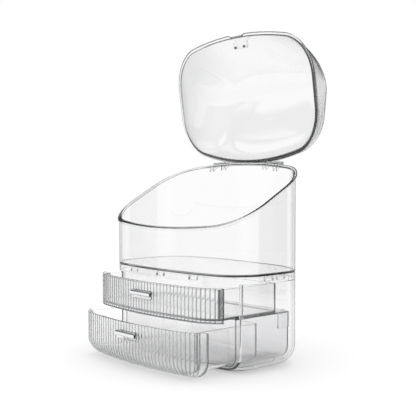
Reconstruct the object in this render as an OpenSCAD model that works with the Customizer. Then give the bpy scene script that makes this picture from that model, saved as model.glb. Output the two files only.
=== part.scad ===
// Dustproof makeup organizer: a slant-topped clear bin with a domed, hinged lid,
// standing on a clear housing with two fluted drawers.
// Front is -Y, right is +X, up is +Z, and the foot stands on z = 0.
// The lid is drawn open and the drawers partly pulled out.

/* [Overall plan] */
// Width of the bin and the housing
body_w = 270; // [240:1:300]
// Depth of the bin and the housing at the middle
body_d = 158; // [150:1:176]
// Radius of the bowed front wall
front_r = 520; // [420:10:900]
// Radius of the bowed back wall
back_r = 400; // [340:10:900]
// Radius of the bowed side walls
side_r = 1500; // [900:50:3000]
// Radius of the four upright corners
corner_r = 52; // [46:1:56]

/* [Foot and housing] */
// Height of the foot
foot_h = 2; // [1.5:0.5:4]
// How far the foot stands in from the outline
foot_inset = 27; // [25:1:32]
// Height of the housing above the foot
housing_h = 111; // [108:1:118]
// Wall of the housing
housing_wall = 2.6; // [2:0.1:3]
// Radius of the housing's rounded bottom edge
bottom_r = 24; // [18:1:25]
// Where the housing's side walls end at the front, behind the outline's middle
mouth_setback = 29; // [27:0.5:34]
// Width of the thickened lip beside the upper drawer
mouth_lip_w = 3.5; // [2:0.5:5]

/* [Joint ring and snap clips] */
// Height of the ring between housing and bin
ring_h = 9; // [8:0.5:12]
// Wall of the ring
ring_wall = 2.6; // [2:0.1:3]
// Width of the ring's inner ledge under the bin
ledge_w = 7; // [5:0.5:9]
// Thickness of the ledge
ledge_t = 2; // [1.5:0.5:3]
// Length of each snap window in the ring
window_l = 14; // [10:1:14]
// Height of each snap window
window_h = 4; // [3:0.5:5]
// Thickness of each snap clip's leg
clip_t = 1.6; // [1.2:0.1:2]
// Gap between a clip's leg and the ring's wall
clip_in = 1.2; // [1:0.1:2]
// Play of the clips in their windows and slots
clip_play = 0.4; // [0.2:0.1:0.6]
// Height of the windows' lower edge above the housing
window_up = 2.4; // [1.5:0.1:3]

/* [Bin] */
// Height of the bin's front rim above its underside
bin_front_h = 58; // [45:1:70]
// Rise of the rim from front to back
rim_rise = 86; // [70:1:95]
// Wall of the bin
bin_wall = 2.6; // [2:0.1:3]
// Thickness of the bin's floor
bin_floor_t = 2.4; // [2:0.1:4]
// How far the rim flange stands out
flange_out = 2.2; // [1:0.1:3]
// Thickness of the rim flange
flange_t = 3; // [2:0.1:4]

/* [Lid] */
// Height of the closed lid's top above the bin's back rim
lid_rise = 22; // [18:1:40]
// Wall of the dome
dome_wall = 2.2; // [1.8:0.1:3]
// Thickness of the lid's rim frame
lid_rim_t = 3; // [2:0.1:4]
// Gap between the closed lid and the bin's flange
lid_gap = 0.5; // [0.4:0.1:1]
// How far the dome's sides curve in at the top
dome_in_side = 58; // [45:1:64]
// How far the dome's front curves in at the top
dome_in_front = 53; // [40:1:58]
// How far the dome's back curves in at the top
dome_in_back = 44; // [36:1:50]
// Angle to which the lid is open
lid_open = 110; // [0:1:112]
// Width of the finger notch in the lid rim's front
notch_w = 28; // [20:1:40]
// Width of the catch plate inside the lid's front
catch_w = 28; // [20:1:36]
// Depth of the catch plate
catch_d = 10; // [8:0.5:14]
// Thickness of the catch plate
catch_t = 2; // [1.5:0.1:3]
// How far the catch plate lies above the lid's rim
catch_up = 8; // [6:0.5:12]
// Gap between the catch plate and the dome's wall
catch_seat = 0.25; // [0.25:0.05:0.4]
// Diameter of the two catch nubs
nub_d = 3.6; // [3:0.2:5]
// Height of the two catch nubs
nub_h = 3; // [1:0.1:5]
// Distance between the two catch nubs
nub_spacing = 17; // [12:1:20]
// How far the nubs stand in from the plate's free edge
nub_in = 0.6; // [0.2:0.1:2]

/* [Hinges] */
// Distance of each hinge's middle from the centre line
hinge_x = 53.5; // [48:0.5:60]
// How far the hinge axis lies behind the outline's middle
hinge_back = 4.3; // [4:0.1:8]
// How far the hinge axis lies under the bin's back rim
hinge_drop = 1.4; // [0:0.1:3]
// Radius of the knuckles
knuckle_r = 2.8; // [2.4:0.1:3.2]
// Radius of the hinge pins
pin_r = 1.25; // [1:0.05:1.5]
// Play between pin and bracket bore
pin_fit = 0.05; // [0.02:0.01:0.08]
// Play between pin and lid bore
pin_play = 0.08; // [0.03:0.01:0.1]
// Width of the lid's knuckle
lid_knuckle_w = 13; // [10:1:22]
// Width of each bracket knuckle
bracket_w = 8.5; // [6:0.5:10]
// Gap between lid knuckle and bracket knuckles
hinge_gap = 0.5; // [0.3:0.1:1]
// Thickness of each bracket's gusset rib
rib_t = 1.6; // [1.2:0.1:2]
// Length of the gusset ribs down the bin's wall
rib_drop = 11; // [8:1:14]
// Angle at which a rib's lower edge leaves the knuckle
rib_angle = 30; // [15:5:45]

/* [Sleeve of the lower drawer] */
// Distance of the sleeve's sides from the outline's sides
sleeve_in = 20; // [19:0.25:20.5]
// Distance of the sleeve's back end from the outline's middle back
sleeve_back = 33; // [31:0.5:36]
// Wall of the sleeve
sleeve_wall = 2; // [1.6:0.1:2.2]
// Height over the sleeve
sleeve_h = 63; // [62:0.5:66]
// How far the sleeve lies above the housing's floor
sleeve_lift = 2.2; // [2.2:0.1:4]
// Outer radius of the sleeve's bottom corners
sleeve_r = 16; // [15:1:22]
// Width of the sleeve's rear gusset plates
gusset_w = 23; // [16:1:30]
// Height of the sleeve's rear gusset plates
gusset_h = 21; // [16:1:30]
// Thickness of the sleeve's rear gusset plates
gusset_t = 1.6; // [1.2:0.1:2.4]
// Width of each runner rail under the upper drawer
runner_w = 4; // [3:0.5:6]
// Height of each runner rail
runner_h = 1; // [0.6:0.1:2]
// Distance of each runner rail from the upper drawer's side
runner_in = 12; // [10:1:30]

/* [Drawers] */
// Distance of the upper box's sides from the outline's sides
upper_box_in = 15; // [14.5:0.25:17]
// Play between the lower box's sides and the sleeve
lower_box_play = 0.5; // [0.4:0.1:4]
// Distance of the closed boxes' backs from the end of their travel
stop_gap = 0.5; // [0.4:0.1:6]
// Wall of the drawer boxes
box_wall = 2; // [1.6:0.1:2.6]
// Floor of the drawer boxes
box_floor = 2; // [1.6:0.1:2.6]
// Height of the upper drawer's box
upper_box_h = 38; // [28:0.5:38.5]
// Height of the lower drawer's box
lower_box_h = 50.5; // [40:0.5:53]
// Outer radius of the lower box's bottom corners
lower_box_r = 14; // [13:1:22]
// Wall of the drawer fronts
front_wall = 2.8; // [2.4:0.1:3.4]
// Height of the upper drawer's front
upper_front_h = 43; // [38:0.5:44]
// Height of the lower drawer's front
lower_front_h = 58; // [54:0.5:60]
// Gap between the two drawer fronts
front_gap = 8; // [6:0.5:10]
// How far the lower front's bottom lip reaches in under the drawer
lip_reach = 20; // [16:1:21]
// Gap between that lip and the housing's floor
lip_gap = 0.8; // [0.5:0.1:2]
// Gap between a closed drawer front and the mouth
front_play = 0.4; // [0.3:0.1:1]
// Play under and beside the sliding drawers
slide_play = 0.4; // [0.3:0.1:1]
// Number of flutes on each drawer front
flutes = 40; // [24:1:48]
// Depth of the flutes
flute_d = 0.7; // [0.3:0.1:1]
// Length of the smooth strip on each side of the flutes, along the front
smooth_l = 8.0; // [6:0.5:30]
// How far the upper drawer is pulled out
upper_pull = 29.4; // [0:0.1:80]
// How far the lower drawer is pulled out
lower_pull = 54; // [0:0.1:80]

/* [Drawer handles] */
// Length of the handle bars
bar_l = 41; // [30:1:60]
// Radius of the half-round handle bars
bar_r = 3.3; // [2.5:0.1:5]
// Width of the smooth plate behind each bar
plate_w = 42; // [30:1:64]
// Height of the smooth plate
plate_h = 12; // [10:0.5:16]
// How far the plate stands out of the flutes
plate_out = 1; // [0.6:0.1:2]
// Corner radius of the plate
plate_r = 3; // [1:0.5:5]
// How deep the plate is let into the drawer front
plate_in = 1.8; // [1:0.1:2]
// How far the bars sit above the middle of their plates
bar_up = 1.5; // [0:0.1:2.5]
// Height of the upper plate's middle above its front's lower edge
upper_plate_z = 25.5; // [16:0.5:30]
// Height of the lower plate's middle above its front's lower edge
lower_plate_z = 41.5; // [32:0.5:48]
// Radius of the screws that hold the bars
screw_r = 1.2; // [1:0.1:1.6]
// Play between the screws and the holes they pass through
screw_play = 0.1; // [0.1:0.05:0.3]
// Distance between the two screws
screw_spacing = 28; // [20:1:36]
// Radius of the screw heads
screw_head_r = 2.4; // [2:0.1:3]
// Thickness of the screw heads
screw_head_t = 1.4; // [1:0.1:2]
// Gap under the screw heads at the bowed wall
screw_seat = 0.1; // [0.08:0.02:0.2]

/* [Hidden] */
$fn = 48;
fuzz = 0.01;
big = 900;
front_steps = 5;    // facets on half of the bowed front or back wall
corner_steps = 8;   // facets on each upright corner
side_steps = 2;     // facets on each side wall
dome_steps = 10;    // rings from the lid's rim to its top
round_steps = 6;    // slices of the housing's rounded bottom edge

half_w = body_w / 2;
half_d = body_d / 2;
housing_z = foot_h;
housing_top = housing_z + housing_h;
bin_z = housing_top + ring_h;
rim_front_z = bin_z + bin_front_h;
rim_back_z = rim_front_z + rim_rise;
slant = atan(rim_rise / body_d);
lid_top_z = rim_back_z + lid_rise;
mouth_y = -half_d + mouth_setback;
hinge_y = half_d + hinge_back;
hinge_z = rim_back_z - hinge_drop;
floor_z = housing_z + housing_wall;
sleeve_z = floor_z + sleeve_lift;
sleeve_top = sleeve_z + sleeve_h;
sleeve_w = body_w - 2 * sleeve_in;
sleeve_d = body_d - mouth_setback - sleeve_back;
upper_box_w = body_w - 2 * upper_box_in;
lower_box_w = sleeve_w - 2 * (sleeve_wall + lower_box_play);
// depths from the outline's middle front: the upper box ends over the sleeve's end, the lower inside it
upper_box_d = mouth_setback + sleeve_d - stop_gap;
lower_box_d = upper_box_d - sleeve_wall;
upper_box_z = sleeve_top + runner_h + slide_play;
lower_box_z = sleeve_z + sleeve_wall + slide_play;
lower_front_z = housing_z;      // the lower front carries on the housing's rounded bottom
upper_front_z = lower_front_z + lower_front_h + front_gap;

// ---- The outline: bowed walls joined by tangent corner arcs ----
front_c = [0, -half_d + front_r];
back_c = [0, half_d - back_r];
side_c = [half_w - side_r, 0];

// Centre of the corner circle that touches an end arc and a side arc from inside.
function corner_centre(c1, r1, c2, r2, side) =
    let (d = norm(c2 - c1), e = (c2 - c1) / d,
         a = (r1 * r1 - r2 * r2 + d * d) / (2 * d), h = sqrt(r1 * r1 - a * a))
    c1 + a * e + side * h * [-e[1], e[0]];
front_corner = corner_centre(front_c, front_r - corner_r, side_c, side_r - corner_r, 1);
back_corner = corner_centre(back_c, back_r - corner_r, side_c, side_r - corner_r, -1);

function heading(from, to) = atan2(to[1] - from[1], to[0] - from[0]);
function arc(c, r, a0, a1, n) =
    [for (k = [0 : n - 1]) let (a = a0 + (a1 - a0) * k / n) c + r * [cos(a), sin(a)]];
front_end = heading(front_c, front_corner);
side_start = heading(side_c, front_corner);
side_end = heading(side_c, back_corner);
back_start = heading(back_c, back_corner);

// Right half of the outline, inset by i, from the middle of the front to that of the back.
function half_outline(i) = concat(
    arc(front_c, front_r - i, -90, front_end, front_steps),
    arc(front_corner, corner_r - i, front_end, side_start, corner_steps),
    arc(side_c, side_r - i, side_start, side_end, side_steps),
    arc(back_corner, corner_r - i, side_end, back_start, corner_steps),
    arc(back_c, back_r - i, back_start, 90, front_steps),
    [[0, half_d - i]]);
function outline_points(i) = let (h = half_outline(i), n = len(h))
    concat(h, [for (k = [n - 2 : -1 : 1]) [-h[k][0], h[k][1]]]);
module outline(i = 0) { polygon(outline_points(i)); }
module outline_ring(outer, inner) { difference() { outline(outer); outline(inner); } }

// A slice of the outline between two heights.
module slab(i, z0, z1) { translate([0, 0, z0]) linear_extrude(z1 - z0) outline(i); }

// The space between two planes parallel to the slanted rim, n0 and n1 above it.
module rim_space(n0, n1) {
    translate([0, -half_d, rim_front_z]) rotate([slant, 0, 0])
        translate([-big / 2, -big / 2, n0]) cube([big, big, n1 - n0]);
}

// Shapes drawn in the Y-Z plane and extruded along +X from x0.
module along_x(x0, length) {
    translate([x0, 0, 0]) rotate([90, 0, 90]) linear_extrude(length) children();
}
// Shapes drawn in the X-Z plane and extruded along +Y from y0.
module along_y(y0, length) {
    translate([0, y0 + length, 0]) rotate([90, 0, 0]) linear_extrude(length) children();
}
module both_sides() { children(); mirror([1, 0, 0]) children(); }

// ---- Foot and housing ----
module base_foot() {
    color("gainsboro") slab(foot_inset, 0, foot_h);
}

// A tub with the outline's plan and a rounded bottom edge of radius r.
module tub(i, z0, z1, r) {
    hull() {
        for (k = [0 : round_steps - 1]) let (a = 90 * k / round_steps)
            slab(i + r * (1 - sin(a)), z0 + r * (1 - cos(a)), z0 + r * (1 - cos(a)) + fuzz);
        slab(i, z0 + r, z1);
    }
}

module housing_shell() {
    inner_r = bottom_r - housing_wall;
    guide_x = upper_box_w / 2 + slide_play;
    color("whitesmoke") difference() {
        tub(0, housing_z, housing_top, bottom_r);
        difference() {
            tub(housing_wall, floor_z, housing_top + inner_r, inner_r);
            // the thickened lip just behind the mouth, which guides the upper drawer
            difference() {
                translate([-half_w, mouth_y, sleeve_top]) cube([body_w, mouth_lip_w, housing_h]);
                translate([-guide_x, -half_d, 0]) cube([2 * guide_x, body_d, big]);
            }
        }
        // the mouth, which leaves a flat tongue of the floor in front of it
        difference() {
            translate([-half_w, -half_d - fuzz, housing_z - fuzz])
                cube([body_w, mouth_setback + fuzz, housing_h + 2 * fuzz]);
            slab(lip_reach + lip_gap, 0, floor_z);
        }
    }
}

// ---- Ring between housing and bin, with its snap windows ----
// Each clip sits at [x, y, turn]: three in the back, three in the front, two on each side.
clip_spread = 62;
clip_side_y = 11;
function wall_y(x, c, r, dir) = c[1] + dir * sqrt(r * r - x * x);
clip_places = concat(
    [for (x = [-clip_spread, 0, clip_spread]) [x, wall_y(x, back_c, back_r, 1), asin(-x / back_r)]],
    [for (x = [-clip_spread, 0, clip_spread]) [x, wall_y(x, front_c, front_r, -1), 180 + asin(x / front_r)]],
    [for (s = [-1, 1], y = [-clip_side_y, clip_side_y]) [s * half_w, y, -s * 90]]);
module at_clips() { for (p = clip_places) translate([p[0], p[1], 0]) rotate(p[2]) children(); }

window_z = housing_top + window_up;
clip_y = -ring_wall - clip_in - clip_t;     // inner face of a clip's leg, seen from the outline
module joint_ring() {
    cut_d = ring_wall + ledge_w / 2;
    slot_w = clip_t + 2 * clip_play;
    color("gainsboro") difference() {
        union() {
            translate([0, 0, housing_top]) linear_extrude(ring_h) outline_ring(0, ring_wall);
            translate([0, 0, bin_z - ledge_t]) linear_extrude(ledge_t)
                outline_ring(ring_wall / 2, ring_wall + ledge_w);
        }
        at_clips() translate([-window_l / 2, -cut_d, window_z]) cube([window_l, cut_d + ring_wall, window_h]);
        // slots in the ledge for the clips' legs
        at_clips() translate([-window_l / 2, clip_y - clip_play, bin_z - ledge_t - fuzz])
            cube([window_l, slot_w, ledge_t + 2 * fuzz]);
    }
}

// Each clip is a leg under the bin's floor, with a barb that catches in its window.
module snap_clips() {
    leg_w = window_l - 2 * clip_play;
    color("silver") at_clips() {
        translate([-leg_w / 2, clip_y, window_z + clip_play])
            cube([leg_w, clip_t, bin_z - window_z - clip_play]);
        translate([-leg_w / 2, clip_y, window_z + clip_play])
            cube([leg_w, clip_t + clip_in + ring_wall / 2, window_h - 2 * clip_play]);
    }
}

// ---- Bin with its slanted, flanged rim ----
module bin_shell() {
    tall = rim_back_z - bin_z + 2 * flange_t;
    color("white") union() {
        slab(0, bin_z, bin_z + bin_floor_t);
        intersection() {
            translate([0, 0, bin_z]) linear_extrude(tall) outline_ring(0, bin_wall);
            rim_space(-big / 2, 0);
        }
        intersection() {
            translate([0, 0, bin_z]) linear_extrude(tall) outline_ring(-flange_out, bin_wall / 2);
            rim_space(-flange_t, 0);
        }
    }
}

// ---- Hinges ----
bracket_x = lid_knuckle_w / 2 + hinge_gap;
wall_back_y = wall_y(hinge_x, back_c, back_r, 1);
bracket_root_y = wall_back_y - bin_wall / 2;
// just behind the bin's flange, where the lid's arms pass over it
flange_clear_y = wall_y(hinge_x - lid_knuckle_w / 2, back_c, back_r + flange_out, 1) + lid_gap;

// Knuckle, in the Y-Z plane, bored for the pin with the given play.
module knuckle_profile(play) {
    difference() {
        union() {
            translate([hinge_y, hinge_z]) circle(knuckle_r);
            children();
        }
        translate([hinge_y, hinge_z]) circle(pin_r + play);
    }
}
// Knuckle with the triangular gusset that hangs behind the bin's wall.
module bracket_profile() {
    knuckle_profile(pin_fit) polygon([
        [bracket_root_y, hinge_z - rib_drop],
        [hinge_y + knuckle_r * cos(rib_angle), hinge_z - knuckle_r * sin(rib_angle)],
        [hinge_y - knuckle_r / 2, hinge_z + knuckle_r / 4],
        [bracket_root_y, hinge_z - flange_t]]);
}
module bracket() {
    difference() {
        for (x = [hinge_x - bracket_x - bracket_w, hinge_x + bracket_x]) {
            along_x(x, bracket_w) knuckle_profile(pin_fit);
            for (rib = [0, bracket_w - rib_t]) along_x(x + rib, rib_t) bracket_profile();
        }
        // the bin's wall, which the ribs stand against
        slab(0, bin_z, rim_back_z + big / 10);
        intersection() {
            slab(-flange_out, bin_z, rim_back_z + big / 10);
            rim_space(-flange_t, big / 10);
        }
    }
}
module hinge_bracket_right() { color("silver") bracket(); }
module hinge_bracket_left() { color("silver") mirror([1, 0, 0]) bracket(); }

module pin() {
    pin_l = lid_knuckle_w + 2 * (hinge_gap + bracket_w);
    translate([hinge_x - pin_l / 2, hinge_y, hinge_z]) rotate([0, 90, 0]) cylinder(r = pin_r, h = pin_l);
}
module hinge_pin_right() { color("dimgray") pin(); }
module hinge_pin_left() { color("dimgray") mirror([1, 0, 0]) pin(); }

// ---- Lid, drawn closed on the bin and swung open about the hinge axis ----
module swung() {
    translate([0, hinge_y, hinge_z]) rotate([-lid_open, 0, 0]) translate([0, -hinge_y, -hinge_z])
        children();
}

lid_rim_n = lid_gap + lid_rim_t;     // top of the lid's rim frame above the bin's rim plane
function rim_z(y, n) = rim_front_z + (y + half_d) * tan(slant) + n / cos(slant);

// One ring of the dome, from a = 0 at the rim to a = 90 at the flat top.
function dome_ring(i, top_z, a) = let (s = 1 - cos(a),
        kx = 1 - dome_in_side / half_w * s, ky = 1 - (dome_in_front + dome_in_back) / body_d * s,
        shift = (dome_in_front - dome_in_back) / 2 * s)
    [for (p = outline_points(i)) let (z0 = rim_z(p[1], lid_rim_n))
        [p[0] * kx, p[1] * ky + shift, z0 + (top_z - z0) * sin(a)]];
function band_faces(m, first, second, n) =
    [for (k = [0 : n - 1]) for (half = [0, 1]) let (j = (k + 1) % n)
        half == 0 ? [first + k, second + k, second + j] : [first + k, second + j, first + j]];

module lid_dome() {
    n = len(outline_points(0));
    rings = dome_steps + 1;
    outer = [for (k = [0 : dome_steps]) dome_ring(0, lid_top_z, 90 * k / dome_steps)];
    inner = [for (k = [0 : dome_steps])
        dome_ring(dome_wall, lid_top_z - dome_wall, 90 * k / dome_steps)];
    points = [for (ring = concat(outer, inner)) for (p = ring) p];
    faces = concat(
        [for (r = [0 : dome_steps - 1]) each band_faces(r, r * n, (r + 1) * n, n)],
        [[for (k = [n - 1 : -1 : 0]) dome_steps * n + k]],
        [for (r = [rings : rings + dome_steps - 1]) each band_faces(r, (r + 1) * n, r * n, n)],
        [[for (k = [0 : n - 1]) (rings + dome_steps) * n + k]],
        band_faces(0, rings * n, 0, n));
    color("white") swung() polyhedron(points, faces);
}

// Knuckle and arm that reach from the lid's rim frame to the hinge axis.
module lid_arm_profile() {
    root_y = wall_back_y - bin_wall / 2;
    knuckle_profile(pin_play) polygon([
        [root_y, rim_z(root_y, lid_gap)],
        [flange_clear_y, rim_z(flange_clear_y, lid_gap)],
        [hinge_y, hinge_z],
        [hinge_y + knuckle_r * sin(rib_angle), hinge_z + knuckle_r * cos(rib_angle)],
        [root_y, rim_z(root_y, lid_rim_n)]]);
}

module lid_rim_frame() {
    tall = rim_back_z - rim_front_z + 4 * lid_rim_n;
    color("gainsboro") swung() {
        intersection() {
            translate([0, 0, rim_front_z - lid_rim_n]) linear_extrude(tall) difference() {
                outline_ring(-flange_out, bin_wall);
                // the finger notch
                translate([-notch_w / 2, -body_d]) square([notch_w, body_d - half_d]);
            }
            rim_space(lid_gap, lid_rim_n);
        }
        both_sides() along_x(hinge_x - lid_knuckle_w / 2, lid_knuckle_w) lid_arm_profile();
    }
}

// Plate inside the dome's front wall, with two nubs that grip the bin's rim.
module lid_catch() {
    // the dome's wall leans in by this much at the plate's upper face
    high = (catch_up + catch_t) / cos(slant) / (lid_top_z - rim_front_z);
    lean = dome_in_front * (1 - sqrt(1 - high * high));
    plate_y = (dome_wall + lean + (catch_up + catch_t) * sin(slant) + catch_seat) / cos(slant);
    nub_y = plate_y + catch_d - nub_d / 2 - nub_in;
    color("silver") swung() translate([0, -half_d, rim_front_z]) rotate([slant, 0, 0]) {
        translate([-catch_w / 2, plate_y, catch_up]) cube([catch_w, catch_d, catch_t]);
        for (x = [-nub_spacing / 2, nub_spacing / 2])
            translate([x, nub_y, catch_up - nub_h]) cylinder(d = nub_d, h = nub_h + catch_t / 2);
    }
}

// ---- Sleeve that holds the lower drawer and carries the upper one ----
// A rectangle on z0 with round bottom corners, in the X-Z plane.
module round_bottomed(w, z0, h, r) {
    translate([-w / 2, z0 + r]) square([w, h - r]);
    translate([-w / 2 + r, z0]) square([w - 2 * r, h]);
    for (s = [-1, 1]) translate([s * (w / 2 - r), z0 + r]) circle(r);
}
module drawer_sleeve() {
    color("lightgray") difference() {
        along_y(mouth_y, sleeve_d) round_bottomed(sleeve_w, sleeve_z, sleeve_h, sleeve_r);
        along_y(mouth_y - fuzz, sleeve_d - sleeve_wall + fuzz)
            round_bottomed(sleeve_w - 2 * sleeve_wall, sleeve_z + sleeve_wall,
                sleeve_h - 2 * sleeve_wall, sleeve_r - sleeve_wall);
    }
}
module sleeve_gussets() {
    color("silver") both_sides()
        translate([sleeve_w / 2, mouth_y + sleeve_d - gusset_w, sleeve_top - gusset_h])
            cube([gusset_t, gusset_w, gusset_h]);
}
module runner_rails() {
    color("silver") both_sides()
        translate([upper_box_w / 2 - runner_in - runner_w, mouth_y, sleeve_top])
            cube([runner_w, sleeve_d, runner_h]);
}

// ---- Drawer boxes ----
module pulled(distance) { translate([0, -distance, 0]) children(); }

// Everything from the outline's middle front to the given depth.
module ahead_of(depth, w) { translate([-w / 2, -half_d, 0]) cube([w, depth, housing_top]); }

module upper_drawer_box() {
    color("white") pulled(upper_pull) difference() {
        intersection() {
            slab(front_wall, upper_box_z, upper_box_z + upper_box_h);
            ahead_of(upper_box_d, upper_box_w);
        }
        intersection() {
            slab(front_wall + box_wall, upper_box_z + box_floor, housing_top);
            ahead_of(upper_box_d - box_wall, upper_box_w - 2 * box_wall);
        }
        translate([0, 0, upper_front_z + upper_plate_z]) screw_holes();
    }
}
// One surface of the lower box: its plan, its rounded bottom and the curve under its front.
module lower_box_solid(i, z0, z1, r) {
    intersection() {
        tub(front_wall + i, lower_front_z + front_wall + i, z1, bottom_r - front_wall - i);
        along_y(-half_d, lower_box_d - i) round_bottomed(lower_box_w - 2 * i, z0, z1 - z0, r);
    }
}
module lower_drawer_box() {
    top = lower_box_z + lower_box_h;
    color("white") pulled(lower_pull) difference() {
        lower_box_solid(0, lower_box_z, top, lower_box_r);
        lower_box_solid(box_wall, lower_box_z + box_floor, top + fuzz, lower_box_r - box_wall);
        translate([0, 0, lower_front_z + lower_plate_z]) screw_holes();
    }
}

// ---- Drawer fronts ----
// Point at distance s along the front outline from its middle, set in by i.
front_arc_l = front_r * (front_end + 90) * PI / 180;
function front_angle(d) = d < front_arc_l
    ? -90 + d / front_r * 180 / PI
    : front_end + (d - front_arc_l) / corner_r * 180 / PI;
function front_point(s, i) = let (a = front_angle(abs(s)), on_arc = abs(s) < front_arc_l,
        p = (on_arc ? front_c : front_corner) + ((on_arc ? front_r : corner_r) - i) * [cos(a), sin(a)])
    [s < 0 ? -p[0] : p[0], p[1]];

tip_angle = asin((mouth_y - front_play - front_corner[1]) / corner_r);
tip_reach = front_arc_l + corner_r * (tip_angle - front_end) * PI / 180;
flute_reach = tip_reach - smooth_l;     // fluted length to each side of the middle
flute_pitch = 2 * flute_reach / flutes;
flute_cuts = 4;     // facets across one flute
tip_steps = 5;      // facets on the smooth ends beside the flutes
tips = [for (k = [1 : tip_steps]) flute_reach + (tip_reach - flute_reach) * k / tip_steps];

// Plan of all that lies in front of the mouth, with fluted front and smooth ends.
module fluted_plan() {
    polygon(concat(
        [for (k = [tip_steps - 1 : -1 : 0]) front_point(-tips[k], 0)],
        [for (k = [0 : flutes * flute_cuts]) let (s = -flute_reach + k * flute_pitch / flute_cuts)
            front_point(s, flute_d * (1 - abs(sin(180 * k / flute_cuts))))],
        [for (s = tips) front_point(s, 0)]));
}

// Outline of the handle's plate, in the X-Z plane.
module plate_shape() {
    square([plate_w - 2 * plate_r, plate_h], center = true);
    square([plate_w, plate_h - 2 * plate_r], center = true);
    for (x = [-1, 1], y = [-1, 1])
        translate([x * (plate_w / 2 - plate_r), y * (plate_h / 2 - plate_r)]) circle(plate_r);
}
plate_face_y = -half_d - plate_out;         // front face of the handle plates
plate_back_y = -half_d + plate_in;          // their back face, let into the drawer front
screw_end_y = plate_face_y - bar_r / 2;
screw_head_y = screw_seat + wall_y(screw_spacing / 2 + screw_head_r, front_c,
    front_r - front_wall - box_wall, -1);

// Round bars along Y at the two screws, from y0 to y1.
module at_screws(r, y0, y1) {
    for (x = [-1, 1]) translate([x * screw_spacing / 2, y0, bar_up])
        rotate([-90, 0, 0]) cylinder(r = r, h = y1 - y0);
}
module screw_holes() { at_screws(screw_r + screw_play, plate_face_y - fuzz, screw_head_y + fuzz); }
module handle_recess() {
    along_y(plate_face_y - flute_d, plate_back_y - plate_face_y + flute_d) plate_shape();
    screw_holes();
}

module upper_drawer_front() {
    color("white") pulled(upper_pull) difference() {
        translate([0, 0, upper_front_z]) linear_extrude(upper_front_h) fluted_plan();
        slab(front_wall, 0, housing_top);
        translate([0, 0, upper_front_z + upper_plate_z]) handle_recess();
    }
}
module lower_drawer_front() {
    color("white") pulled(lower_pull) difference() {
        intersection() {
            translate([0, 0, lower_front_z]) linear_extrude(lower_front_h) fluted_plan();
            tub(0, lower_front_z, housing_top, bottom_r);
        }
        tub(front_wall, lower_front_z + front_wall, housing_top, bottom_r - front_wall);
        slab(lip_reach, 0, lower_front_z + 2 * front_wall);
        translate([0, 0, lower_front_z + lower_plate_z]) handle_recess();
    }
}

// ---- Drawer handles, drawn with their plate's middle at z = 0 ----
module on_upper() { pulled(upper_pull) translate([0, 0, upper_front_z + upper_plate_z]) children(); }
module on_lower() { pulled(lower_pull) translate([0, 0, lower_front_z + lower_plate_z]) children(); }

module handle_plate() {
    color("whitesmoke") difference() {
        along_y(plate_face_y, plate_back_y - plate_face_y) plate_shape();
        screw_holes();
    }
}
// Half-round bar, flat against its plate.
module handle_bar() {
    color("silver") difference() {
        intersection() {
            translate([-bar_l / 2, plate_face_y, bar_up]) rotate([0, 90, 0]) cylinder(r = bar_r, h = bar_l);
            translate([-bar_l / 2, plate_face_y - 2 * bar_r, bar_up - bar_r])
                cube([bar_l, 2 * bar_r, 2 * bar_r]);
        }
        at_screws(screw_r, screw_end_y, plate_face_y + fuzz);
    }
}
// Two screws from inside the drawer, through its box, front and plate into the bar.
module handle_screws() {
    color("gray") {
        at_screws(screw_r, screw_end_y, screw_head_y);
        at_screws(screw_head_r, screw_head_y, screw_head_y + screw_head_t);
    }
}
module upper_handle_plate() { on_upper() handle_plate(); }
module upper_handle_bar() { on_upper() handle_bar(); }
module upper_handle_screws() { on_upper() handle_screws(); }
module lower_handle_plate() { on_lower() handle_plate(); }
module lower_handle_bar() { on_lower() handle_bar(); }
module lower_handle_screws() { on_lower() handle_screws(); }

base_foot();
housing_shell();
joint_ring();
drawer_sleeve();
sleeve_gussets();
runner_rails();
bin_shell();
snap_clips();
hinge_bracket_left();
hinge_bracket_right();
hinge_pin_left();
hinge_pin_right();
lid_dome();
lid_rim_frame();
lid_catch();
upper_drawer_box();
upper_drawer_front();
upper_handle_plate();
upper_handle_bar();
upper_handle_screws();
lower_drawer_box();
lower_drawer_front();
lower_handle_plate();
lower_handle_bar();
lower_handle_screws();
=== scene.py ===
# %% [markdown]
# # A clear makeup organizer, piece by piece
# The object is a moulded organizer of clear polystyrene: a slanted bin with a domed lid on a
# hinge, standing on a housing with two reeded drawers. Clear plastic has no colour of its own.
# What the eye reads is its edges, so every wall here is a closed skin with its true thickness.
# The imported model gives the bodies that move. The skins below repeat its sizes, in its frame.

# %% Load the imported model
import math

import bpy
import numpy as np
from mathutils import Matrix, Vector


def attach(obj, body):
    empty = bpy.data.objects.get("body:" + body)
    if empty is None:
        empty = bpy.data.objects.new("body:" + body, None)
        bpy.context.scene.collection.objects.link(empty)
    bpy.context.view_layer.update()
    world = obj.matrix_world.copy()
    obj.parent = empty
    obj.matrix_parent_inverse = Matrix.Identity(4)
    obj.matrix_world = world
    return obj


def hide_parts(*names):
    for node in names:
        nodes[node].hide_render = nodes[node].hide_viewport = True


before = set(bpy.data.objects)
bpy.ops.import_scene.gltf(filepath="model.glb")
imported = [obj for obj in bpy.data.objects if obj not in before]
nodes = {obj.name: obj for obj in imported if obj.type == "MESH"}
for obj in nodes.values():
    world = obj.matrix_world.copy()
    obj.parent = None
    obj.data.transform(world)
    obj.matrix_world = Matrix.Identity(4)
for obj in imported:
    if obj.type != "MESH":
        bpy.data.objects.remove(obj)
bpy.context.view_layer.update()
MM = 0.001

# %% [markdown]
# ## The plan outline
# Seen from above, the bin is a soft rectangle: bowed walls joined by round corners. Each stretch
# is an arc of a circle, so a point is its centre plus radius times a unit direction. Moving the
# wall inwards only shortens the radius, which gives exact wall thickness for free.

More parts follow.
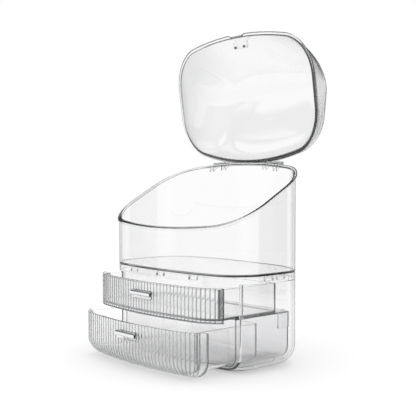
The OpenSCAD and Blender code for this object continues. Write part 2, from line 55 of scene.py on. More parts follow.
# %% The outline as arcs
HALF_W, HALF_D = 135.0, 79.0        # millimetres, from the middle to the walls
FRONT_R, BACK_R, SIDE_R, CORNER_R = 520.0, 400.0, 1500.0, 52.0
front_c = np.array([0.0, FRONT_R - HALF_D])
back_c = np.array([0.0, HALF_D - BACK_R])
side_c = np.array([HALF_W - SIDE_R, 0.0])


def corner_centre(c1, r1, c2, r2, side):
    """Where two circles cross: the centre of a corner arc that touches both walls from inside."""
    d = np.linalg.norm(c2 - c1)
    e = (c2 - c1) / d
    a = (r1 ** 2 - r2 ** 2 + d ** 2) / (2 * d)
    return c1 + a * e + side * math.sqrt(r1 ** 2 - a ** 2) * np.array([-e[1], e[0]])


def heading(a, b):
    """The angle in degrees of the line from a to b."""
    return math.degrees(math.atan2(b[1] - a[1], b[0] - a[0]))


front_corner = corner_centre(front_c, FRONT_R - CORNER_R, side_c, SIDE_R - CORNER_R, 1)
back_corner = corner_centre(back_c, BACK_R - CORNER_R, side_c, SIDE_R - CORNER_R, -1)
front_end = heading(front_c, front_corner)
side_start, side_end = heading(side_c, front_corner), heading(side_c, back_corner)
back_start = heading(back_c, back_corner)
print("corner arcs centred at", front_corner.round(2), back_corner.round(2))


# %% Columns round the outline
def mirrored(half):
    """The right half of a loop of points, and its mirror image back to the start."""
    return np.concatenate([half, half[-2:0:-1] * ([-1] + [1] * (half.shape[1] - 1))])


def arc(centre, radius, angles):
    """Points at centre + radius * (cos, sin). Radius and angles may be numbers or arrays."""
    a = np.radians(angles)
    return np.stack([centre[0] + radius * np.cos(a), centre[1] + radius * np.sin(a)], -1)


def stretch(a, b, n):
    """n even steps from a towards b, without b itself."""
    return a + (b - a) * np.arange(n) / n


N_FRONT, N_CORNER, N_SIDE, N_BACK = 18, 28, 6, 16


def plan(inset, split=None):
    """The whole outline moved in by inset, counter-clockwise from the middle of the front.
    With split, half of the front corner's columns end at that angle and half start there."""
    if split is None:
        corner = stretch(front_end, side_start, N_CORNER)
    else:
        half = N_CORNER // 2
        corner = np.r_[stretch(front_end, split, half), stretch(split, side_start, half)]
    return mirrored(np.concatenate([
        arc(front_c, FRONT_R - inset, stretch(-90, front_end, N_FRONT)),
        arc(front_corner, CORNER_R - inset, corner),
        arc(side_c, SIDE_R - inset, stretch(side_start, side_end, N_SIDE)),
        arc(back_corner, CORNER_R - inset, stretch(side_end, back_start, N_CORNER)),
        arc(back_c, BACK_R - inset, stretch(back_start, 90, N_BACK)),
        [[0.0, HALF_D - inset]]]))


MOUTH_COLUMN = N_FRONT + N_CORNER // 2
print("columns round the outline:", len(plan(0)))

# %% [markdown]
# ## From grids to closed skins
# A vessel is a profile (how far in, how high) carried round the plan. As a grid it is rows times
# columns, and four neighbours make a face. Two helpers are enough: one closes a stack of loops
# with a flat cap at each end, the other gives a trimmed sheet its wall and closes every cut edge.


# %% Make a piece
SHARP = 32                          # degrees


def place(name, data):
    """A new object at the origin, linked to the scene."""
    ob = bpy.data.objects.new(name, data)
    bpy.context.scene.collection.objects.link(ob)
    return ob


def signed_volume(co, faces):
    """Six times the volume inside a mesh: the sum of a . (b x c) over its fan triangles."""
    total = 0.0
    for n in set(len(f) for f in faces):
        f = np.array([q for q in faces if len(q) == n])
        for k in range(1, n - 1):
            a, b, c = co[f[:, 0]], co[f[:, k]], co[f[:, k + 1]]
            total += np.einsum("ij,ij->", a, np.cross(b, c))
    return total


def dress(ob, mat):
    """Gives an object one material in place of what it had."""
    ob.data.materials.clear()
    ob.data.materials.append(mat)
    return ob


def add_piece(name, mesh, body, mat, stands_for=(), marks=None):
    """A piece from (points in millimetres, faces): closed, faces outwards, smooth up to SHARP
    degrees, dressed in mat. marks are one edge value per point, the painted shade of the marked
    materials."""
    co, faces = mesh
    if signed_volume(co, faces) < 0:
        faces = [f[::-1] for f in faces]
    me = bpy.data.meshes.new(name)
    me.from_pydata((np.asarray(co) * MM).tolist(), [], faces)
    me.validate()
    me.shade_smooth()
    me.set_sharp_from_angle(angle=math.radians(SHARP))
    me.polygons.foreach_set("use_smooth", [len(f) < 5 for f in faces])
    ob = place(name, me)
    # normals weighted by face area: flat walls stay optically flat right up to their round edges
    ob.modifiers.new("by_area", "WEIGHTED_NORMAL").keep_sharp = True
    seen = ob.evaluated_get(bpy.context.evaluated_depsgraph_get())
    ob.data = bpy.data.meshes.new_from_object(seen)
    ob.data.name = name
    ob.modifiers.clear()
    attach(ob, body)
    if stands_for:
        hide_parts(*stands_for)
    if marks is not None:
        ob.data.attributes.new("edge", "FLOAT", "POINT").data.foreach_set("value", np.ravel(marks))
    print(f"{name}: {len(faces)} faces")
    return dress(ob, mat)


# %% Grids to skins
def quads(rows, cols, wrap):
    """Face corners of a grid, as an array: each point with its right, upper-right and upper one."""
    i = np.arange(rows * cols).reshape(rows, cols)
    j = np.roll(i, -1, 1) if wrap else i[:, 1:]
    i = i if wrap else i[:, :-1]
    return np.stack([i[:-1], j[:-1], j[1:], i[1:]], -1)


def stack_mesh(loops):
    """Points and faces of closed loops stacked on each other, with a flat cap on both ends."""
    loops = np.asarray(loops, float)
    rows, cols = loops.shape[:2]
    faces = quads(rows, cols, True).reshape(-1, 4).tolist()
    last = (rows - 1) * cols
    faces += [list(range(cols))[::-1], list(range(last, last + cols))]
    return loops.reshape(-1, 3), faces


def wall_mesh(outer, inner, keep=None, wrap=False, cap=False):
    """A sheet with thickness: the outer grid, the inner grid turned over, and a strip along every
    edge that only one kept face uses. cap closes the first row of both with a flat face."""
    outer, inner = np.asarray(outer, float), np.asarray(inner, float)
    rows, cols = outer.shape[:2]
    n = rows * cols
    q = quads(rows, cols, wrap)
    keep = np.ones(q.shape[:2], bool) if keep is None else keep
    f = q[keep]
    edges = np.concatenate([f[:, [0, 1]], f[:, [1, 2]], f[:, [2, 3]], f[:, [3, 0]]])
    key = np.sort(edges, 1) @ [n, 1]
    _, where, count = np.unique(key, return_index=True, return_counts=True)
    rim = edges[where[count == 1]]
    faces = f.tolist() + (f[:, ::-1] + n).tolist()
    if cap:
        rim = rim[(rim >= cols).any(1)]
        faces += [list(range(cols))[::-1], list(range(n, n + cols))]
    faces += np.stack([rim[:, 1], rim[:, 0], rim[:, 0] + n, rim[:, 1] + n], 1).tolist()
    co = np.concatenate([outer.reshape(-1, 3), inner.reshape(-1, 3)])
    used = np.unique(np.concatenate([np.ravel(x) for x in faces]))
    new = np.full(2 * n, -1)
    new[used] = np.arange(len(used))
    return co[used], [[int(new[v]) for v in x] for x in faces]


def join(parts):
    """Several closed meshes as one: their points follow each other and the faces count on."""
    co, faces, n = [], [], 0
    for c, f in parts:
        co.append(c)
        faces += [[v + n for v in x] for x in f]
        n += len(c)
    return np.concatenate(co), faces


def both_sides(part):
    """A part and its mirror image across the middle plane, whose faces are turned back outwards."""
    co, faces = part
    return join([part, (co * [-1, 1, 1], [x[::-1] for x in faces])])


def at_height(xy, z):
    """A loop of plan points lifted to a height, which may be a number or one value per point."""
    return np.column_stack([xy, np.broadcast_to(z, len(xy))])


def bend(r, a0, a1, n):
    """n + 1 points of a round edge as (in, up) offsets, from angle a0 to a1 in degrees."""
    a = np.radians(np.linspace(a0, a1, n + 1))
    return np.stack([r * np.cos(a), r * np.sin(a)], -1)


# %% [markdown]
# ## Clear polystyrene
# The walls are injection-moulded clear polystyrene, polished by the steel mould. Light goes
# straight through a wall face-on but runs a long way inside it edge-on, and comes out grey. A
# little grey absorption per millimetre inside the closed skin gives part of that. The rest is
# painted shade: points can carry a value named "edge" that paints rims, corners and grooves
# darker, and upright walls are painted darker where they curve out of sight. Shadow rays pass a
# clear body unbent, which keeps the shadow on the table as faint as the real one.


# %% Material helpers
def linear(hex_colour):
    """An sRGB hex colour as linear RGBA."""
    c = np.array([int(hex_colour[i:i + 2], 16) for i in (0, 2, 4)]) / 255
    c = np.where(c <= 0.04045, c / 12.92, ((c + 0.055) / 1.055) ** 2.4)
    return (*c.tolist(), 1.0)


def add_node(tree, kind, sockets=None, **values):
    """Adds a node: plain settings and socket values by name, then sockets as {socket: what it
    gets}, which is another node, one output of a node, or a plain value. A node on its own stands
    for its first enabled output."""
    node = tree.nodes.new(kind)
    for key, value in values.items():
        if hasattr(node, key):
            setattr(node, key, value)
        else:
            node.inputs[key.replace("_", " ")].default_value = value
    for key, source in (sockets or {}).items():
        if isinstance(source, bpy.types.Node):
            source = next(out for out in source.outputs if out.enabled)
        if isinstance(source, bpy.types.NodeSocket):
            tree.links.new(source, node.inputs[key])
        else:
            node.inputs[key].default_value = source
    return node


def new_material(name):
    """A material whose node tree is still empty, and that tree."""
    mat = bpy.data.materials.new(name)
    mat.use_nodes = True
    mat.node_tree.nodes.clear()
    return mat, mat.node_tree


# %% A clear plastic
EDGE_COLOUR = "686C6E"              # painted shade: the grey drawn where one looks along a wall instead of through it
GROOVE_COLOUR = "989C9E"            # the same painted shade, paler, for the fine grooves of the reeds
EDGE_DRAWN = 0.9                    # the share of a marked edge that is painted plain dim shade, without glints
BRINK_FROM = 0.74                   # how far a wall is turned away before painted shade starts to darken it


def polished(t, where, wave_mm, wave, rough):
    """Roughness and normal of a moulded surface: soft, wide waves from the cooling melt stir the
    reflections a little, and a fine haze varies the polish by half."""
    waves = add_node(t, "ShaderNodeTexNoise", {"Vector": where}, Scale=1000 / wave_mm, Detail=1.0)
    haze = add_node(t, "ShaderNodeTexNoise", {"Vector": where}, Scale=180.0, Detail=2.0)
    level = add_node(t, "ShaderNodeMapRange", {"Value": haze},
                     To_Min=rough * 0.5, To_Max=rough * 1.5)
    return level, add_node(t, "ShaderNodeBump", {"Height": waves}, Strength=wave, Distance=0.001)


def out_of_sight(t, brink):
    """The share of painted shade: brink where an upright wall curves out of sight, 0 where it is
    seen
    or where it lies level: the Layer Weight's facing from BRINK_FROM to 1, times 1 - (height part
    of the normal) ** 2."""
    facing = add_node(t, "ShaderNodeLayerWeight", Blend=0.5).outputs["Facing"]
    turned = add_node(t, "ShaderNodeMapRange", {"Value": facing}, From_Min=BRINK_FROM, To_Max=brink)
    normal = add_node(t, "ShaderNodeNewGeometry").outputs["Normal"]
    tilt = add_node(t, "ShaderNodeSeparateXYZ", {"Vector": normal}).outputs["Z"]
    squared = add_node(t, "ShaderNodeMath", {0: tilt, 1: tilt}, operation="MULTIPLY")
    upright = add_node(t, "ShaderNodeMath", {0: 1.0, 1: squared}, operation="SUBTRACT")
    return add_node(t, "ShaderNodeMath", {0: turned, 1: upright}, operation="MULTIPLY")


def moulded_clear(name, tint, inside, per_metre, ior=1.59, rough=0.02, wave_mm=30.0, wave=0.04,
                  brink=1.0, line=EDGE_COLOUR, marked=True):
    """Clear moulded plastic: inside and per_metre set how light fades along its way within. When
    marked, the points' own value "edge" paints shade: it turns the surface from the tint to the
    line colour, and is 0 on a mesh without it. So does brink, as painted shade, where an upright
    wall curves out of sight."""
    mat, t = new_material(name)
    where = add_node(t, "ShaderNodeTexCoord").outputs["Object"]
    roughness, normal = polished(t, where, wave_mm, wave, rough)
    colour, lines = linear(tint), out_of_sight(t, brink)
    if marked:
        edge = add_node(t, "ShaderNodeAttribute", attribute_name="edge").outputs["Fac"]
        colour = add_node(t, "ShaderNodeMix", {"Factor": edge, "A": colour, "B": linear(line)},
                          data_type="RGBA")
        drawn = add_node(t, "ShaderNodeMath", {0: edge, 1: EDGE_DRAWN}, operation="MULTIPLY")
        lines = add_node(t, "ShaderNodeMath", {0: lines, 1: drawn}, operation="MAXIMUM")
    body = add_node(t, "ShaderNodeBsdfPrincipled",
                    {"Roughness": roughness, "Normal": normal, "Base Color": colour},
                    Transmission_Weight=1.0, IOR=ior)
    # painted shade: the line colour, seen straight through, is mixed in on marked edges and where
    # walls curve out of sight
    dim = add_node(t, "ShaderNodeBsdfTransparent", Color=linear(line))
    outline = add_node(t, "ShaderNodeMixShader", {"Fac": lines, 1: body, 2: dim})
    unbent = add_node(t, "ShaderNodeBsdfTransparent", Color=linear("FFFFFF"))
    ray = add_node(t, "ShaderNodeLightPath").outputs
    mix = add_node(t, "ShaderNodeMixShader", {"Fac": ray["Is Shadow Ray"], 1: outline, 2: unbent})
    fade = add_node(t, "ShaderNodeVolumeAbsorption", Color=linear(inside), Density=per_metre)
    add_node(t, "ShaderNodeOutputMaterial", {"Surface": mix, "Volume": fade})
    return mat


# %% The clear plastics of this object
# thick, glossy and colourless: sharp reflections, and dark outlines partly from refraction and
# partly painted shade
clear_styrene = moulded_clear("clear_polystyrene_polished_mould", "FFFFFF", "8E9294", 8.0)
# the lid's thinner wall takes less light away, so its inside stays pale
lid_styrene = moulded_clear("clear_polystyrene_thin_dome", "FAFAFA", "8E9294", 5.0)
# calmer waves and paler painted shade lines, so that forty grooves side by side stay crisp and
# light
reeded_styrene = moulded_clear("clear_polystyrene_reeded", "FFFFFF", "8E9294", 4.0, wave=0.02,
                               brink=0.0, line=GROOVE_COLOUR)
# a rougher, slightly smoky wall behind the clear ones
grey_styrene = moulded_clear("grey_tinted_polystyrene", "FAFAFB", "868A8C", 10.0, rough=0.05,
                             marked=False)
# painted shade: a dense grey absorption makes the small pegs nearly black, the dark they show seen
# along their length
deep_styrene = moulded_clear("clear_polystyrene_painted_dark", "FFFFFF", "6E7274", 420.0,
                             marked=False)
for mat in (clear_styrene, lid_styrene, reeded_styrene, grey_styrene, deep_styrene):
    print("made", mat.name)


# %% [markdown]
# ## The bin
# The bin is one moulded vessel with a floor, upright walls cut off on a slant, and a rounded bead
# round the rim. One profile goes from under the floor, up outside, over the bead and down inside.
# Points near the rim take their height from the slanted plane, so the bead follows the slant.

# %% Heights that the pieces share
FOOT_H, HOUSING_TOP, BIN_Z = 2.0, 113.0, 122.0
RIM_FRONT, RIM_RISE = 180.0, 86.0
slant = math.atan2(RIM_RISE, 2 * HALF_D)
AIR = 0.12                          # a hair of air between parts that stand on each other
print(f"the rim slants by {math.degrees(slant):.1f} degrees")


def on_rim(xy, n):
    """Height of the rim plane over each point, n millimetres above it at right angles."""
    return RIM_FRONT + (xy[:, 1] + HALF_D) * math.tan(slant) + n / math.cos(slant)


# %% The bin's skin
BIN_WALL, BIN_FLOOR, BEAD_OUT, BEAD_T = 2.6, 2.4, 2.2, 3.0


def bin_loops():
    """The profile carried round the plan: floor edge, bead outside to inside, and inner foot. Each
    round corner is a quarter circle as (in, up) offsets from its own centre."""
    floor_top = BIN_Z + BIN_FLOOR
    low = [(1.2, BIN_Z + AIR), (0.5, BIN_Z + AIR + 0.15), (0, BIN_Z + AIR + 0.8),
           (0, BIN_Z + AIR + 1.5)]
    loops = [at_height(plan(i), z) for i, z in low]
    bead_r = 0.9
    bead = [(0, -BEAD_T - 0.6), (-0.5, -BEAD_T)]
    bead += [(-BEAD_OUT + bead_r - c, -BEAD_T + bead_r + s) for c, s in bend(bead_r, 270, 360, 4)]
    bead += [(-BEAD_OUT + bead_r - c, -bead_r + s) for c, s in bend(bead_r, 0, 90, 4)]
    bead += [(BIN_WALL - bead_r - c, -bead_r + s) for c, s in bend(bead_r, 90, 180, 4)]
    loops += [at_height(plan(i), on_rim(plan(i), n)) for i, n in bead]
    foot = [(BIN_WALL + 1 + c, floor_top + 1 + s) for c, s in bend(1.0, 180, 270, 4)]
    return np.array(loops + [at_height(plan(i), z) for i, z in foot])


def rows_marked(loops, rows):
    """Edge values of stacked loops, which paint shade: 1 on the given rows and 0 on the others."""
    values = np.zeros(loops.shape[:2])
    values[rows] = 1.0
    return values


loops = bin_loops()
BEAD_ROWS, BEAD_MARK = [8, 12, 13, 17], 0.2     # painted shade on the bead's round corners, faintly
FOOT_ROWS, FOOT_MARK = slice(1, 3), 0.6         # painted shade on the edge round the floor
marks = BEAD_MARK * rows_marked(loops, BEAD_ROWS)
marks[FOOT_ROWS] = FOOT_MARK
add_piece("slanted_bin", stack_mesh(loops), "organizer", clear_styrene,
          ["bin_shell"], marks)

# %% [markdown]
# ## The lid
# The lid is a dome on a flat rim. From the rim up to its top each loop is the outline drawn in a
# little more, and its height follows a sine, so the wall starts upright and ends level. It is
# worked out closed, on top of the bin, and then swung open about the hinge axis, like the real one.

# %% The lid's skin
LID_TOP, DOME_WALL, LID_GAP, LID_RIM_T = 288.0, 2.2, 0.5, 3.0
CROWN, CROWN_FROM = 1.6, 87.0       # the top swells a little from where the wall's curve ends
IN_SIDE, IN_FRONT, IN_BACK = 58.0, 53.0, 44.0
HINGE_Y, HINGE_Z, LID_OPEN = 83.3, 264.6, 110.0
NOTCH_W = 28.0
SIDE_GREY, SIDE_TO = 0.10, 60.0     # painted shade, greyer on the dome's steep side, up to this angle
CROWN_ROWS, DOME_ROWS, FLANGE_ROWS = 23, 40, 15     # loops on each stretch of the profile
FLANGE_OUTER, FLANGE_INNER = [3, 4, 5, 6], 12       # the flange's loops at its corners, which get painted shade


def swung(co):
    """Turns points about the hinge axis by the angle at which the lid stands open."""
    a = math.radians(-LID_OPEN)
    y, z = co[..., 1] - HINGE_Y, co[..., 2] - HINGE_Z
    return np.stack([co[..., 0], HINGE_Y + y * math.cos(a) - z * math.sin(a),
                     HINGE_Z + y * math.sin(a) + z * math.cos(a)], -1)


def dome_loop(inset, top, angle):
    """The outline drawn in by 1 - cos(angle), at a height that rises with sin(angle)."""
    top = top - CROWN
    xy = plan(inset)
    z0 = on_rim(xy, LID_GAP + LID_RIM_T)
    s = 1 - math.cos(math.radians(angle))
    x = xy[:, 0] * (1 - IN_SIDE / HALF_W * s)
    y = xy[:, 1] * (1 - (IN_FRONT + IN_BACK) / (2 * HALF_D) * s) + (IN_FRONT - IN_BACK) / 2 * s
    return np.column_stack([x, y, z0 + (top - z0) * math.sin(math.radians(angle))])


def crown_loops(inset, top):
    """The last dome loop drawn in to its middle, while the height rises as 1 - size squared."""
    last = dome_loop(inset, top, CROWN_FROM)
    middle = last[:, :2].mean(0)
    return [np.column_stack([middle + (last[:, :2] - middle) * k, last[:, 2] + CROWN * (1 - k * k)])
            for k in np.linspace(1, 0.06, CROWN_ROWS + 1)[1:]]


def lid_loops():
    """Down the outside from the crown, round the flange's edge in quarter circles and up the
    inside. In front the flange is drawn back to the wall over NOTCH_W, for a fingertip."""
    rise = np.linspace(0, CROWN_FROM, DOME_ROWS)
    inside = LID_TOP - DOME_WALL
    outer = crown_loops(0, LID_TOP)[::-1] + [dome_loop(0, LID_TOP, a) for a in rise[::-1]]
    inner = [dome_loop(DOME_WALL, inside, a) for a in rise] + crown_loops(DOME_WALL, inside)
    n0, n1, r = LID_GAP, LID_GAP + LID_RIM_T, 0.8
    x = plan(0)[:, 0]
    front = plan(0)[:, 1] < 0
    notch = np.clip((NOTCH_W / 2 - np.abs(x)) / 1.5 + 0.5, 0, 1) * front
    out = -BEAD_OUT * (1 - notch)
    edge = [(out + r - c, n1 - r + s) for c, s in bend(r, 90, 0, 4)]
    edge += [(out + r - c, n0 + r + s) for c, s in bend(r, 360, 270, 4)]
    edge += [(BIN_WALL - r - c, n0 + r + s) for c, s in bend(r, 270, 180, 4)]
    rim = []
    for i, n in edge:
        xy = plan_by_column(i)
        rim.append(at_height(xy, on_rim(xy, n)))
    return swung(np.array(outer + rim + inner))


def plan_by_column(inset):
    """The outline with its own inset for each column, between two plain outlines."""
    if np.isscalar(inset):
        return plan(inset)
    return plan(0) + (plan(1) - plan(0)) * np.asarray(inset)[:, None]


loops = lid_loops()
flange = CROWN_ROWS + DOME_ROWS     # the flange's first row, after the outer crown and dome
# painted shade: dark lines on the flange's corners and grey on the dome's steep sides
marks = rows_marked(loops, [flange + k for k in FLANGE_OUTER])
marks[flange + FLANGE_INNER] = 0.4
to_front = np.clip(0.5 - plan(0)[:, 1] / 80, 0, 1)
marks *= 0.15 + 0.85 * to_front     # painted shade, fainter towards the hinge
rise = np.linspace(0, CROWN_FROM, DOME_ROWS)[:, None]
sideways = np.clip(1.6 * np.abs(plan(0)[:, 0]) / HALF_W - 0.6, 0, 1)
steep = SIDE_GREY * np.clip(1 - rise / SIDE_TO, 0, 1) ** 1.5 * sideways
marks[CROWN_ROWS:flange] = steep[::-1]
marks[flange + FLANGE_ROWS:][:DOME_ROWS] = steep
add_piece("domed_lid", stack_mesh(loops), "lid", lid_styrene, ["lid_dome"], marks)

# %% [markdown]
# ## The lid's knuckles
# Two knuckles reach back from the lid's flange to the hinge axis, each between the two knuckles of
# its bracket. In side view one is a circle round the axis that runs into a short straight arm.

# %% Both knuckles
HINGE_X, KNUCKLE_W, KNUCKLE_R = 53.5, 13.0, 2.8


def knuckle_part():
    """A part circle round the axis joined to two points on the flange, carried along X, and 0.92
    of its size at both ends."""
    flange = BACK_R + BEAD_OUT
    inner_x = HINGE_X - KNUCKLE_W / 2
    root_y = back_c[1] + math.sqrt(flange ** 2 - inner_x ** 2) + 0.05
    high, low = (on_rim(np.array([[0, root_y]]), n)[0]
                 for n in (LID_GAP + LID_RIM_T - 0.3, LID_GAP + 0.3))
    round_part = bend(KNUCKLE_R, 70, -165, 22) + [HINGE_Y, HINGE_Z]
    ring = np.concatenate([[[root_y, high]], round_part, [[root_y, low]]])
    middle = ring.mean(0)
    stations = [(-KNUCKLE_W / 2, 0.92), (-KNUCKLE_W / 2 + 0.3, 1), (KNUCKLE_W / 2 - 0.3, 1),
                (KNUCKLE_W / 2, 0.92)]
    loops = [np.column_stack([np.full(len(ring), HINGE_X + x), middle + (ring - middle) * k])
             for x, k in stations]
    return stack_mesh(swung(np.array(loops)))


add_piece("lid_knuckles", both_sides(knuckle_part()), "lid", clear_styrene,
          ["lid_rim_frame"])

# %% [markdown]
# ## The catch
# Inside the lid's front wall a small tongue carries two pegs that grip the bin's rim when the lid
# is shut. It is laid out in the rim's own slanted plane: y runs inwards, n at right angles to it.

# %% Tongue and pegs
CATCH_W, CATCH_D, CATCH_T, CATCH_UP = 28.0, 10.0, 2.0, 8.0
PEG_R, PEG_H, PEG_X, PEG_BACK = 1.8, 3.0, 8.5, 0.6
high = (CATCH_UP + CATCH_T) / math.cos(slant) / (LID_TOP - RIM_FRONT)
lean = IN_FRONT * (1 - math.sqrt(1 - high * high))
catch_y = (DOME_WALL + lean + (CATCH_UP + CATCH_T) * math.sin(slant) + 0.25) / math.cos(slant)


def rounded(half_a, half_b, r, n=5):
    """A rectangle with round corners as (a, b) pairs round its middle."""
    half = np.concatenate([bend(r, 270, 360, n) + [half_a - r, r - half_b],
                           bend(r, 0, 90, n) + [half_a - r, half_b - r]])
    return np.concatenate([half, half[::-1] * [-1, 1]])


def from_rim(loops):
    """Points (x, y, n) of the slanted rim plane's frame, taken to the closed lid and swung open."""
    p = np.array(loops)
    y = p[..., 1] * math.cos(slant) - p[..., 2] * math.sin(slant) - HALF_D
    z = p[..., 1] * math.sin(slant) + p[..., 2] * math.cos(slant) + RIM_FRONT
    return swung(np.stack([p[..., 0], y, z], -1))


def tongue_part():
    """A rounded rectangle carried up by CATCH_T, drawn in by 0.3 at both faces."""
    return stack_mesh(from_rim([
        at_height(rounded(CATCH_W / 2 - i, CATCH_D / 2 - i, 1.6) + [0, catch_y + CATCH_D / 2],
                  CATCH_UP + n)
        for n, i in ((0, 0.3), (0.3, 0), (CATCH_T - 0.3, 0), (CATCH_T, 0.3))]))


def peg_part(x):
    """Circles stacked along n: a smaller tip, the full radius, and a smaller root."""
    y = catch_y + CATCH_D - PEG_R - PEG_BACK
    loops = []
    for n, r in ((-PEG_H, 1.3), (-PEG_H + 0.5, PEG_R), (-0.6, PEG_R), (-AIR, 1.6)):
        loops.append(at_height(bend(r, 0, 345, 23) + [x, y], CATCH_UP + n))
    return stack_mesh(from_rim(loops))


add_piece("catch_tongue", tongue_part(), "lid", lid_styrene, ["lid_catch"])
add_piece("catch_pegs", join([peg_part(-PEG_X), peg_part(PEG_X)]), "lid",
          deep_styrene)

# %% [markdown]
# ## The housing
# Below the bin stands a tub with a rounded bottom edge and a foot. Its walls stop at the mouth,
# and only a tongue of the floor runs on to the front. So the tub is worked out all the way round
# first. Then the faces in front of the mouth are left out, and each cut edge gets its own wall.

# %% The housing's skin
MOUTH_Y, BOTTOM_R, HOUSING_WALL, FLOOR_Z = -50.0, 24.0, 2.6, 4.6
FOOT_INSET, TONGUE_INSET = 27.0, 20.8
SLEEVE_TOP = 69.8


def cut_angle(inset, y):
    """The angle at which a front corner arc, moved in by inset, meets the line at y."""
    return math.degrees(math.asin((y - front_corner[1]) / (CORNER_R - inset)))


def mouth_loop(inset, z):
    """The outline with one of its columns exactly on the mouth."""
    return at_height(plan(inset, cut_angle(min(inset, TONGUE_INSET), MOUTH_Y)), z)


def housing_grids():
    """Outside and inside profiles with the same rows: foot, quarter circle up to the wall, rim.
    keep is False in front of the mouth, from the loop at TONGUE_INSET upwards."""
    inner_r = BOTTOM_R - HOUSING_WALL
    first = math.degrees(math.asin(1 - TONGUE_INSET / BOTTOM_R))
    turns = np.radians(np.r_[0, first, np.linspace(first + 6, 90, 15)])
    outer = [(FOOT_INSET + 0.6, 0), (FOOT_INSET, 0.5), (FOOT_INSET, FOOT_H)]
    inner = [(FOOT_INSET + 0.6, FLOOR_Z), (FOOT_INSET, FLOOR_Z), (25.5, FLOOR_Z)]
    outer += [(BOTTOM_R * (1 - math.sin(a)), FOOT_H + BOTTOM_R * (1 - math.cos(a))) for a in turns]
    inner += [(HOUSING_WALL + inner_r * (1 - math.sin(a)), FLOOR_Z + inner_r * (1 - math.cos(a)))
              for a in turns]
    top = HOUSING_TOP - AIR
    outer += [(0, SLEEVE_TOP), (0, top - 0.5), (0.4, top)]
    inner += [(HOUSING_WALL, SLEEVE_TOP), (HOUSING_WALL, top - 0.5), (HOUSING_WALL - 0.4, top)]
    outer = np.array([mouth_loop(i, z) for i, z in outer])
    inner = np.array([mouth_loop(i, z) for i, z in inner])
    rows, cols = outer.shape[:2]
    column = np.arange(cols)
    front = (column < MOUTH_COLUMN) | (column >= cols - MOUTH_COLUMN)
    keep = np.ones((rows - 1, cols), bool)
    keep[4:, front] = False
    return outer, inner, keep


outer, inner, keep = housing_grids()
add_piece("housing_tub", wall_mesh(outer, inner, keep, wrap=True, cap=True), "organizer",
          clear_styrene, ["housing_shell", "base_foot"])

# %% [markdown]
# ## Lips at the mouth
# Beside the upper drawer the wall's end is thickened to a lip that guides the drawer. Each lip is
# a short upright bar that fills the wedge between the drawer's side and the bowed wall.


# %% Both lips
GUIDE_X, LIP_W = 120.4, 3.5


def lip_part():
    """A wedge carried upwards: on the wall's inner circle on one side, and at GUIDE_X with round
    corners on the other."""
    seam = HOUSING_WALL + AIR
    r = 0.7
    ys = np.array([MOUTH_Y, MOUTH_Y + LIP_W])
    wall_x = front_corner[0] + np.sqrt((CORNER_R - seam) ** 2 - (ys - front_corner[1]) ** 2)
    round_end = bend(r, 270, 360, 4) * [-1, 1] + [GUIDE_X + r, ys[0] + r]
    round_back = bend(r, 0, 90, 4) * [-1, 1] + [GUIDE_X + r, ys[1] - r]
    ring = np.concatenate([[(wall_x[0], ys[0])], round_end, round_back, [(wall_x[1], ys[1])]])
    return stack_mesh([at_height(ring, z) for z in (SLEEVE_TOP + 0.1, HOUSING_TOP - AIR)])


add_piece("mouth_lips", both_sides(lip_part()), "organizer", clear_styrene)

# %% [markdown]
# ## The sleeve of the lower drawer
# The lower drawer runs in a sleeve of slightly grey plastic, open at the front. Its cross-section
# is a rectangle with two round lower corners. Carried forward along Y it makes the outside, and a
# second, smaller one carried back again makes the inside.


# %% The sleeve's skin
def trough(half_w, z0, z1, r, y, r_top=1.2, n=10):
    """A cross-section at y: flat floor, round lower corners, upright sides, nearly square top."""
    low = bend(r, 270, 360, n) + [half_w - r, z0 + r]
    high = bend(r_top, 0, 90, 4) + [half_w - r_top, z1 - r_top]
    half = np.concatenate([[[0, z0]], low, high, [[0, z1]]])
    xz = mirrored(half)
    return np.column_stack([xz[:, 0], np.full(len(xz), float(y)), xz[:, 1]])


SLEEVE_HALF, SLEEVE_Z, SLEEVE_END, SLEEVE_WALL, SLEEVE_R = 115.0, 6.8, 46.0, 2.0, 16.0


def sleeve_loops():
    """The trough carried forward outside, from its closed end to the mouth, and back inside,
    smaller by the wall, with eased edges at the mouth."""
    out = [(0.5, SLEEVE_END), (0, SLEEVE_END - 0.5), (0, 0), (0, MOUTH_Y + 0.5), (0.5, MOUTH_Y)]
    within = [(SLEEVE_WALL - 0.5, MOUTH_Y), (SLEEVE_WALL, MOUTH_Y + 0.5), (SLEEVE_WALL, 0),
              (SLEEVE_WALL, SLEEVE_END - SLEEVE_WALL)]
    return [trough(SLEEVE_HALF - i, SLEEVE_Z + i, SLEEVE_TOP - i, SLEEVE_R - i, y,
                   max(0.3, 1.2 - i)) for i, y in out + within]


add_piece("lower_drawer_sleeve", stack_mesh(sleeve_loops()), "organizer",
          grey_styrene, ["drawer_sleeve"])

# %% Gussets and runner rails
def gusset_part():
    """Carried outwards along X from the sleeve's side, with its outer edge eased."""
    w, h, t = 23.0, 21.0, 1.6
    loops = []
    for x, i in ((AIR, 0), (t - 0.4, 0), (t, 0.4)):
        yz = rounded(w / 2 - i, h / 2 - i, 1.5) + [SLEEVE_END - w / 2, SLEEVE_TOP - h / 2]
        loops.append(np.column_stack([np.full(len(yz), SLEEVE_HALF + x), yz]))
    return stack_mesh(loops)


def rail_part():
    """Carried up from the sleeve's top, with its upper edge eased."""
    w, h, x = 4.0, 1.0, 106.0
    length = SLEEVE_END - MOUTH_Y
    return stack_mesh([at_height(rounded(w / 2 - i, length / 2 - i, 0.8)
                                 + [x, MOUTH_Y + length / 2], SLEEVE_TOP + z)
                       for z, i in ((AIR, 0), (h - 0.3, 0), (h, 0.3))])


for name, part, node in (("gusset_plates", gusset_part(), "sleeve_gussets"),
                         ("upper_drawer_rails", rail_part(), "runner_rails")):
    add_piece(name, both_sides(part), "organizer", grey_styrene, [node])

